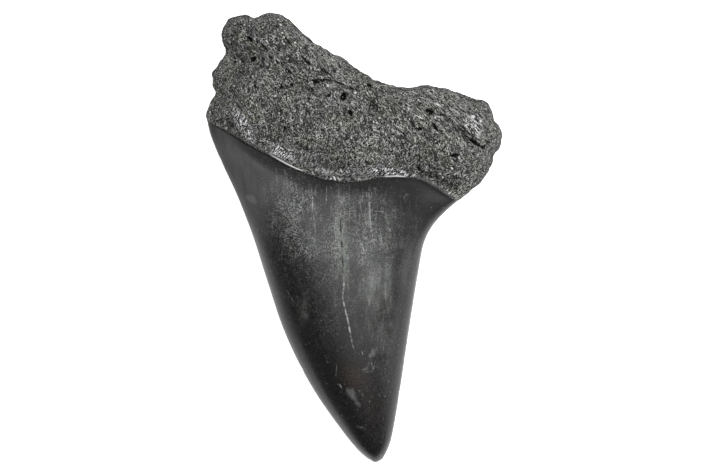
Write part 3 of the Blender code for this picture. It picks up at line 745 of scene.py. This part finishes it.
def point_marks(points, normals, is_enamel):
    """The marks that the materials use, by name, each with a value for every point."""
    from_rim = distance(points[:, :2], spline(LINGUAL_RIM))
    along_grain, across_grain = grain_lengths(points)
    collar = peak(from_rim, COLLAR_FROM_EDGE, COLLAR_WIDTH) * bumps(points, COLLAR, MARK_STEEPNESS)
    upper = spots(
        points, gloss=GLOSS, pale_bone=PALE_BONE, shaded_bone=SHADED_BONE, dull=DULL,
        green=GREEN_MARKS, haze=HAZE, streaky=STREAKY, stain=STAIN,
    )
    upper |= spots(
        points, MARK_STEEPNESS, chip=CHIPS, crack_open=CRACK_OPEN, crack_pale=CRACK_PALE,
        pale=PALE_MARKS, rim=RIM_SHINE,
        scratch=[(*scratch[:4], SCRATCH_ZONE, scratch[4]) for scratch in SCRATCHES],
        speck=[(x, y, 1, SPECK_RADIUS, SPECK_RADIUS, 0) for x, y in SPECKS],
        # the pits, where shade is painted
        pit=[(x, y, 1, *size_and_turn) for x, y, _, *size_and_turn in PITS],
    )
    # the rim's painted highlight lies in a thin band just off the rim's edge
    upper["rim"] *= peak(from_rim, RIM_SHINE_FROM_EDGE, RIM_SHINE_WIDTH)
    # painted sheen on the enamel, and the collar on the bone
    upper["film"] = np.clip(np.where(is_enamel, bumps(points, FILM), collar), 0, 1)
    marks = {name: values * (normals[:, 2] > 0) for name, values in upper.items()}
    return marks | spots(points, layers=LAYERS, smooth=SMOOTH) | {
        "grain_along": along_grain,
        "grain_across": across_grain,
        # painted light, lighter towards the rim
        "slope_lift": 1 + SLOPE_LIFT * peak(from_rim, 0, SLOPE_LIFT_WIDTH),
        "side": 1 - np.abs(normals[:, 2]),
        "crack_side": crack_side(points),
        "scratch_side": scratch_side(points),
    }


def joined_faces(grids):
    """The tooth's faces, whose grids share the points where they meet, and how many are bone."""
    root, crown, low_root, low_crown = numbered(grids)
    crown[0] = root[-1, ::COARSER]
    for above, below, step in ((root, low_root, COARSER), (crown, low_crown, CROWN_COARSER)):
        below[:, 0] = above[::step, 0]
        below[:, -1] = above[::step, -1]
    low_root[0] = root[0, ::COARSER]
    low_crown[-1] = crown[-1, ::CROWN_COARSER]
    low_crown[0] = low_root[-1, ::CROWN_COARSER]
    found = {}
    for run in (root[0], root[-1], root[:, 0], root[:, -1]):
        found |= between(run, COARSER)
    for run in (crown[:, 0], crown[:, -1], crown[-1], low_root[-1]):
        found |= between(run, CROWN_COARSER)
    fine_bone = four_sided(root)
    coarse_bone = [face[::-1] for face in four_sided(low_root)]
    enamel = four_sided(crown) + [face[::-1] for face in four_sided(low_crown)]
    faces = fine_bone + [with_inner(face, found) for face in coarse_bone + enamel]
    return faces, len(fine_bone) + len(coarse_bone)


def point_normals(mesh, points):
    """Moves the mesh to these points, and gives the direction of its surface at each."""
    mesh.vertices.foreach_set("co", points.ravel())
    mesh.update()
    return np.array([normal.vector for normal in mesh.vertex_normals])


def tooth_mesh():
    """The tooth as one closed mesh, with the marks that its materials use stored at its points."""
    root_above, crown_above, lumps_above = lingual_face()
    root_below, crown_below, lumps_below = labial_face()
    grids = [root_above, crown_above, root_below, crown_below]
    no_lumps = np.zeros(crown_above[..., 0].size), np.zeros(crown_below[..., 0].size)
    share = np.concatenate([lumps_above.ravel(), no_lumps[0], lumps_below.ravel(), no_lumps[1]])
    is_enamel = np.repeat([False, True, False, True], [grid[..., 0].size for grid in grids])
    faces, bone_count = joined_faces(grids)
    points = np.concatenate([grid.reshape(-1, 3) for grid in grids])
    points, faces, used = without_unused(points, faces)
    share = share[used]
    is_enamel = is_enamel[used]

    mesh = bpy.data.meshes.new("tooth")
    mesh.from_pydata(points.tolist(), [], faces)
    lumps = sum(height * waves(points, size, seed) for seed, (size, height) in enumerate(LUMP_SIZES))
    points += point_normals(mesh, points) * (lumps * share)[:, None]
    normals = point_normals(mesh, points)
    strands, tones = strand_relief(points, normals, share)
    from_edge = distance(points[:, :2], outline())
    nicks = np.clip(waves(points, NICK_SIZE, NICK_SEED) - NICK_THRESHOLD, 0, 1)
    nicks = NICK_DEPTH * nicks * np.exp(-from_edge / NICK_REACH) * is_enamel
    points += normals * (strands - nicks)[:, None]
    points[:, 2] = np.maximum(points[:, 2], 0)
    mesh.vertices.foreach_set("co", points.ravel())

    marks = point_marks(points, normals, is_enamel)
    marks |= {"relief": strands / STRAND_HEIGHT[1], "tone": tones}
    for name, values in marks.items():
        mesh.attributes.new(name, "FLOAT", "POINT").data.foreach_set("value", values.astype(np.float32))
    slots = np.repeat([0, 1], [bone_count, len(faces) - bone_count])
    mesh.polygons.foreach_set("material_index", slots)
    mesh.transform(Matrix.Scale(METRES_PER_MM, 4))
    mesh.shade_smooth()
    return mesh


class Nodes:
    """Short ways to add a material's nodes."""

    def __init__(self, name):
        self.material = bpy.data.materials.new(name)
        self.material.use_nodes = True
        self.tree = self.material.node_tree
        self.shader = self.tree.nodes["Principled BSDF"]
        self.place = self.add("ShaderNodeTexCoord").outputs["Object"]

    def add(self, kind, inputs=(), **settings):
        """Adds a node with these settings, and links or sets its inputs."""
        node = self.tree.nodes.new(kind)
        for name, value in settings.items():
            setattr(node, name, value)
        for name, value in dict(inputs).items():
            self.put(node.inputs[name], value)
        return node

    def put(self, socket, value):
        """Links an output to a socket, or sets the socket's value."""
        if isinstance(value, bpy.types.NodeSocket):
            self.tree.links.new(value, socket)
        else:
            socket.default_value = value

    def mark(self, name):
        """A mark stored at the mesh's points."""
        return self.add("ShaderNodeAttribute", attribute_name=name).outputs["Fac"]

    def noise(self, place, scale, detail, roughness, distortion):
        """Noise from 0 to 1."""
        inputs = {
            "Vector": place, "Scale": scale, "Detail": detail, "Roughness": roughness,
            "Distortion": distortion,
        }
        return self.add("ShaderNodeTexNoise", inputs).outputs["Fac"]

    def grains(self, size, detail=2, place=None, roughness=0.5, distortion=0):
        """Noise with grains of this size in millimetres."""
        return self.noise(place or self.place, 1 / (size * METRES_PER_MM), detail, roughness, distortion)

    @cached_property
    def grain_place(self):
        """Each point's place along and across the bone's grain, and its height, in millimetres."""
        height = self.add("ShaderNodeSeparateXYZ", {0: self.scale(self.place, 1 / METRES_PER_MM)})
        lengths = {0: self.mark("grain_along"), 1: self.mark("grain_across"), 2: height.outputs[2]}
        return self.add("ShaderNodeCombineXYZ", lengths).outputs[0]

    def fibres(self, length, width, turn=0, detail=1, distortion=0.4):
        """Noise with fibres of this length and width, turned from the bone's grain."""
        inputs = {
            "Vector": self.grain_place,
            "Rotation": (0, 0, math.radians(turn)),
            "Scale": (length, width, width),
        }
        place = self.add("ShaderNodeMapping", inputs, vector_type="TEXTURE").outputs["Vector"]
        return self.noise(place, 1, detail, 0.5, distortion)

    def math(self, operation, *values):
        """One step of arithmetic."""
        return self.add("ShaderNodeMath", dict(enumerate(values)), operation=operation).outputs[0]

    def times(self, *values):
        """These values multiplied."""
        return reduce(partial(self.math, "MULTIPLY"), values)

    def largest(self, *values):
        """The largest of these values."""
        return reduce(partial(self.math, "MAXIMUM"), values)

    def linear(self, value, slope, start):
        """The start, plus the value times the slope."""
        return self.math("MULTIPLY_ADD", value, slope, start)

    def spread(self, value, low, high, to_low=0.0, to_high=1.0):
        """The value's range from low to high, smoothly spread over another range."""
        inputs = {
            "Value": value, "From Min": low, "From Max": high, "To Min": to_low, "To Max": to_high,
        }
        node = self.add("ShaderNodeMapRange", inputs, interpolation_type="SMOOTHSTEP")
        return node.outputs["Result"]

    def mix(self, share, first, second):
        """Two colours mixed."""
        node = self.add("ShaderNodeMix", {0: share, 6: first, 7: second}, data_type="RGBA")
        return node.outputs[2]

    def between(self, first, second, share):
        """The first value at a share of 0, and the second at 1."""
        return self.linear(self.math("SUBTRACT", second, first), share, first)

    def lines(self, value, width):
        """Thin lines, 1 at their middles, where the value passes a half."""
        return self.spread(self.math("ABSOLUTE", self.math("SUBTRACT", value, 0.5)), 0, width, 1, 0)

    def scale(self, colour, factor):
        """A colour made lighter or darker by a factor."""
        node = self.add("ShaderNodeVectorMath", {0: colour, "Scale": factor}, operation="SCALE")
        return node.outputs[0]

    def shade(self, colour, mark, change):
        """A colour made lighter by this share where a mark is full, or darker by a share below 0."""
        return self.scale(colour, self.linear(mark, change, 1))

    def finished(self, colour, roughness, ior):
        """The material, with its shader given these values."""
        self.put(self.shader.inputs["Base Color"], colour)
        self.put(self.shader.inputs["Roughness"], roughness)
        self.put(self.shader.inputs["IOR"], ior)
        return self.material


def bone_material():
    """Dark grey fossil bone: fine felt of pale fibres and black gaps, threads, cracks, painted glints and
    painted shade.
    """
    nodes = Nodes("fossil_bone")
    mark, grains, fibres, lines = nodes.mark, nodes.grains, nodes.fibres, nodes.lines
    spread, linear, times, largest = nodes.spread, nodes.linear, nodes.times, nodes.largest
    mix, scale, shade = nodes.mix, nodes.scale, nodes.shade
    black = (0.004, 0.004, 0.004, 1)
    grey = (0.0398, 0.0403, 0.0383, 1)
    olive = (0.0422, 0.0431, 0.0346, 1)
    blue = (0.0394, 0.0396, 0.0409, 1)
    worn = (0.51, 0.515, 0.491, 1)
    bright = (0.93, 0.93, 0.94, 1)
    film = (0.15, 0.148, 0.155, 1)
    relief = mark("relief")
    tone = mark("tone")
    side = mark("side")
    gloss = mark("gloss")
    layers = mark("layers")
    pit = mark("pit")

    patches = spread(grains(2.2, 3), 0.45, 0.62)
    cool = spread(grains(1.6, 3, roughness=0.6), 0.52, 0.68)
    colour = mix(cool, mix(patches, grey, olive), blue)
    colour = scale(colour, spread(grains(1.1, 3), 0.35, 0.65, 0.92, 1.1))
    # Painted light: lighter towards the rim
    colour = scale(colour, mark("slope_lift"))
    colour = shade(colour, mark("pale_bone"), 0.7)
    pale = mix(0.6, scale(colour, 9), worn)
    # Painted glints: the base is darkened in the glint zones
    colour = shade(colour, gloss, -0.9)
    pale = shade(pale, gloss, -0.8)

    patches = spread(grains(0.9, 2), 0.48, 0.54)
    felt = nodes.between(fibres(0.4, 0.1, 12), fibres(0.28, 0.09, -45), patches)
    felt = nodes.between(felt, fibres(0.28, 0.09, 50), spread(grains(1, 1, distortion=0.5), 0.55, 0.61))
    streaks = nodes.math("SUBTRACT", fibres(1.3, 0.22, 4, distortion=0.5), 0.5)
    felt = linear(streaks, 0.12, felt)
    contrast = spread(grains(0.9, 2), 0.4, 0.6, 0.6, 1.4)
    felt = linear(nodes.math("SUBTRACT", felt, FELT_MIDDLE), contrast, FELT_MIDDLE)

    threads = lines(fibres(1.3, 0.8, 0, distortion=0.8), 0.022)
    threads = times(threads, spread(grains(0.7, 2), 0.5, 0.56))
    cross_threads = lines(fibres(1, 0.55, 55, distortion=0.8), 0.025)
    cross_threads = times(cross_threads, spread(grains(0.6, 2), 0.5, 0.56))
    cracks = lines(fibres(1.7, 0.9, -6, detail=2, distortion=0.6), 0.025)
    cracks = times(cracks, spread(grains(0.8, 2), 0.54, 0.6, 0, 0.8))
    beds = fibres(2.6, 0.55, 2, detail=2, distortion=0.5)
    gaps = largest(
        spread(felt, 0.37, 0.5, 0.95, 0),
        cracks,
        spread(fibres(0.5, 0.34, -14, distortion=0.6), 0.3, 0.34, 0.6, 0),
        times(spread(beds, 0.36, 0.45, 1, 0), layers),
        # painted shade: darker where the relief is low, in the pores and between strands
        spread(relief, -0.7, -0.2, 0.9, 0),
    )
    strands = largest(
        times(spread(felt, 0.53, 0.66), spread(grains(1, 2), 0.35, 0.6, 0.75, 1)),
        # painted light: raised strands paler, each by its own tone
        times(spread(relief, 0.4, 0.8), spread(tone, 0.6, 0.85)),
        threads,
        cross_threads,
    )
    strands = times(strands, nodes.math("SUBTRACT", 1, gaps))
    strands = largest(strands, times(layers, 0.8, lines(beds, 0.03)))
    colour = mix(gaps, colour, black)
    colour = mix(strands, colour, pale)
    # Painted shade in the darker patches
    colour = shade(colour, mark("shaded_bone"), -0.7)
    # Painted shade: steep sides made darker
    colour = scale(colour, spread(side, 0.35, 1, 1, 0.45))
    # The collar's paler grey, carried by the same mark as the enamel's painted sheen
    colour = mix(times(mark("film"), 0.8), colour, film)
    # Painted shade: the pits made nearly black
    colour = scale(colour, spread(pit, 0.15, 0.4, 1, 0.02))

    # Painted glints: thin white strands in the glint zones
    wet = spread(fibres(0.7, 0.12, -20, distortion=0.8), 0.55, 0.59)
    # Painted highlights: sparse white glints, glints on raised strand tops and in the glint zones, the
    # rim's painted highlight, and the bright chips, all mixed to white
    shine = largest(
        spread(fibres(0.4, 0.2, -10, distortion=0.3), 0.71, 0.74, 0, 0.8),
        times(wet, spread(gloss, 0.15, 0.6)),
        spread(mark("chip"), 0.4, 0.8, 0, 0.65),
        times(spread(relief, 0.1, 0.4), spread(tone, 0.96, 0.97, 0, 0.5)),
        # the painted highlight along the rim
        spread(mark("rim"), 0.2, 0.7),
    )
    rough = spread(grains(0.4, 2), 0.35, 0.65, 0.5, 0.7)
    rough = linear(largest(strands, shine), -0.3, rough)
    rough = linear(largest(gaps, pit), 0.3, rough)
    rough = nodes.math("ADD", rough, spread(side, 0.3, 0.7, 0, 0.3))
    return nodes.finished(mix(shine, colour, bright), rough, BONE_IOR)


def enamel_material():
    """Black fossil enamel with a satin gloss, worn to a grainy grey haze along its middle."""
    nodes = Nodes("fossil_enamel")
    mark, grains, lines, mix, scale = nodes.mark, nodes.grains, nodes.lines, nodes.mix, nodes.scale
    spread, linear, times, largest = nodes.spread, nodes.linear, nodes.times, nodes.largest
    black = (0.0052, 0.0049, 0.0051, 1)
    cool_haze = (0.229, 0.238, 0.24, 1)
    warm_haze = (0.241, 0.24, 0.23, 1)
    film = (0.072, 0.072, 0.071, 1)
    brown = (0.02, 0.0125, 0.009, 1)
    pale = (0.13, 0.133, 0.134, 1)
    scratch = (0.4, 0.405, 0.4, 1)
    verdigris = (0.225, 0.255, 0.215, 1)
    stretch = nodes.add("ShaderNodeMapping", {"Vector": nodes.place, "Scale": (1, LENGTHWISE_SCALE, 1)})
    lengthwise = stretch.outputs["Vector"]
    dull = mark("dull")
    film_here = mark("film")

    grain = grains(0.16, 1)
    clouds = grains(2.2, 3, roughness=0.6)
    brushed = grains(0.3, 3, lengthwise, roughness=0.6)
    bands = grains(0.8, 2, lengthwise, roughness=0.6)
    haze_here = times(
        mark("haze"),
        spread(clouds, 0.34, 0.62, 0.45, 1.05),
        spread(bands, 0.35, 0.65, 0.65, 1.15),
        # less haze where the shadow under the rim is painted
        nodes.between(1, spread(brushed, 0.42, 0.62, 0.25, 1.1), dull),
        nodes.between(1, spread(brushed, 0.42, 0.6, 0.5, 1.3), mark("streaky")),
    )
    speckle = linear(grain, 0.82, times(grains(0.34, 1), 0.18))
    curls = times(lines(grains(0.7, 1, distortion=0.9), 0.03), spread(grains(0.5, 1), 0.45, 0.6, 0, 0.5))
    worn = largest(spread(speckle, 0.47, 0.6), curls)
    worn = nodes.between(worn, spread(speckle, 0.35, 0.75, 0.3, 0.65), mark("smooth"))
    streaks = spread(brushed, 0.52, 0.72, 0, 0.7)
    haze = mix(spread(grains(1.6, 2), 0.42, 0.58), cool_haze, warm_haze)
    colour = mix(mark("stain"), black, brown)
    colour = scale(colour, spread(grain, 0.4, 0.6, 0.5, 2.1))
    colour = mix(times(haze_here, worn), colour, haze)
    colour = mix(times(haze_here, streaks), colour, haze)
    dots = spread(grains(0.26, 1, roughness=0.4), 0.68, 0.76)
    colour = mix(times(dots, 0.5), colour, pale)
    # Painted sheen on the crown's left shoulder, thinner where the shadow under the rim is painted
    film_share = times(film_here, spread(bands, 0.3, 0.7, 0.7, 1.05), linear(dull, -0.5, 1))
    colour = mix(film_share, colour, film)
    ragged = linear(grains(0.5, 2), 0.9, mark("pale"))
    colour = mix(spread(ragged, 0.7, 1.3, 0, 0.6), colour, pale)
    greenish = times(mark("green"), spread(brushed, 0.35, 0.6, 0.3, 1), spread(speckle, 0.4, 0.6, 0.4, 1))
    colour = mix(greenish, colour, verdigris)

    broken = spread(grains(0.4, 2, roughness=0.6), 0.4, 0.58, 0.12, 1)
    thin = spread(nodes.math("ABSOLUTE", mark("scratch_side")), 0.01, 0.085, 1, 0)
    side = nodes.math("ABSOLUTE", mark("crack_side"))
    scratches = largest(
        times(thin, mark("scratch"), broken),
        times(spread(side, 0.03, 0.14, 1, 0), mark("crack_pale"), broken),
        spread(mark("speck"), 0.2, 0.8, 0, 0.45),
    )
    colour = mix(scratches, colour, scratch)
    dark_line = times(spread(side, 0.04, 0.11, 1, 0), mark("crack_open"))
    colour = scale(colour, spread(dark_line, 0, 0.8, 1, 0.01))
    matt = largest(dull, dark_line, film_here)
    rough = linear(matt, 0.4, spread(grain, 0.35, 0.65, 0.3, 0.42))
    return nodes.finished(colour, rough, ENAMEL_IOR)


def tooth():
    """The whole tooth, in place of the solid."""
    mesh = tooth_mesh()
    mesh.materials.append(bone_material())
    mesh.materials.append(enamel_material())
    piece = bpy.data.objects.new("tooth_surface", mesh)
    bpy.context.scene.collection.objects.link(piece)
    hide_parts("tooth")
    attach(piece, "root")


def floor():
    """A plain near-white surface under the tooth."""
    bpy.ops.mesh.primitive_circle_add(
        vertices=96, radius=FLOOR_RADIUS * METRES_PER_MM, fill_type="NGON",
        location=(0, 0, -FLOOR_DROP * METRES_PER_MM),
    )
    disc = bpy.context.object
    disc.name = "floor"
    nodes = Nodes("white_floor")
    values = {
        "Base Color": PALE_GREY, "Roughness": 0.9, "Specular IOR Level": 0.1,
        "Emission Color": WHITE, "Emission Strength": FLOOR_GLOW,
    }
    for name, value in values.items():
        nodes.put(nodes.shader.inputs[name], value)
    disc.data.materials.append(nodes.material)


def area_light(name, place, size, strength):
    """A soft round light at a place in millimetres, turned to the tooth, of this strength per area."""
    light = bpy.data.lights.new(name, "AREA")
    light.shape = "DISK"
    light.size = size * METRES_PER_MM
    light.energy = strength * light.size**2
    lamp = bpy.data.objects.new(name, light)
    lamp.location = Vector(place) * METRES_PER_MM
    lamp.rotation_euler = (-Vector(place)).to_track_quat("-Z", "Y").to_euler()
    bpy.context.scene.collection.objects.link(lamp)


def lights():
    """A large soft light overhead with a brighter core, a panel to the right, and surroundings that
    give little light but look pale to the camera."""
    for name, (place, size, strength) in LIGHTS.items():
        area_light(name, place, size, strength)
    world = bpy.data.worlds.new("surroundings")
    world.use_nodes = True
    tree = world.node_tree
    background = tree.nodes["Background"]
    background.inputs["Color"].default_value = PALE_GREY
    seen_or_lit = tree.nodes.new("ShaderNodeMapRange")
    seen_or_lit.inputs["To Min"].default_value = LIT_BY_SURROUNDINGS
    seen_or_lit.inputs["To Max"].default_value = SEEN_SURROUNDINGS
    rays = tree.nodes.new("ShaderNodeLightPath")
    tree.links.new(rays.outputs["Is Camera Ray"], seen_or_lit.inputs["Value"])
    tree.links.new(seen_or_lit.outputs["Result"], background.inputs["Strength"])
    bpy.context.scene.world = world


def camera():
    """Straight down onto the tooth, from far enough that heights hardly change its outline."""
    data = bpy.data.cameras.new("camera")
    data.lens = LENS
    data.sensor_width = SENSOR
    height = IMAGE_WIDTH * LENS / SENSOR + OUTLINE_LEVEL
    eye = bpy.data.objects.new("camera", data)
    eye.location = Vector((*CAMERA_AIM, height)) * METRES_PER_MM
    bpy.context.scene.collection.objects.link(eye)
    bpy.context.scene.camera = eye


tooth()
floor()
lights()
camera()
bpy.context.scene.view_settings.view_transform = "Standard"
